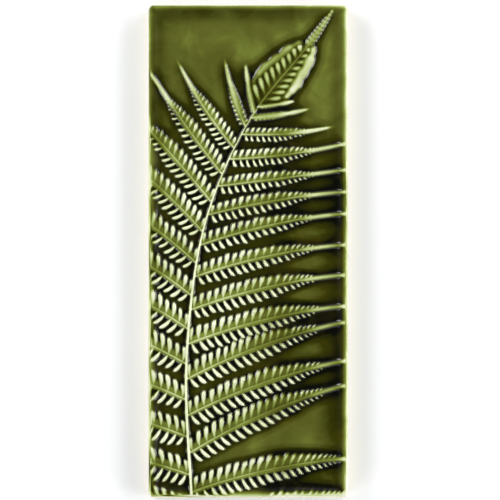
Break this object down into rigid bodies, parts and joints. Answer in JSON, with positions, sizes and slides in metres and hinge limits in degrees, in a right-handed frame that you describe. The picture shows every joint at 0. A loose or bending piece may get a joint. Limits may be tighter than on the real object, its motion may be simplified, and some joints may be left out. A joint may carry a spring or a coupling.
{
  "type": "relief wall tile",
  "caption": "Oblong ceramic wall tile: flat back, raised rim and a fern frond moulded in relief on a sunk field, under a green glaze that pools dark in the hollows.",
  "frame": {"origin": "centre of the flat back face, at the bottom of the tile as it lies face up", "axes": "+Z out of the decorated face, +Y along the length towards the end with the frond's tip, +X to the right as the face is looked at"},
  "size_m": [0.1, 0.247, 0.01],
  "materials": {
    "glaze": "transparent green glaze, glossy, pale on the raised edges and nearly black where it pools, over a buff clay body that is bare on the back"
  },
  "bodies": {
    "root": {"wall_tile": "glaze"}
  },
  "joints": []
}
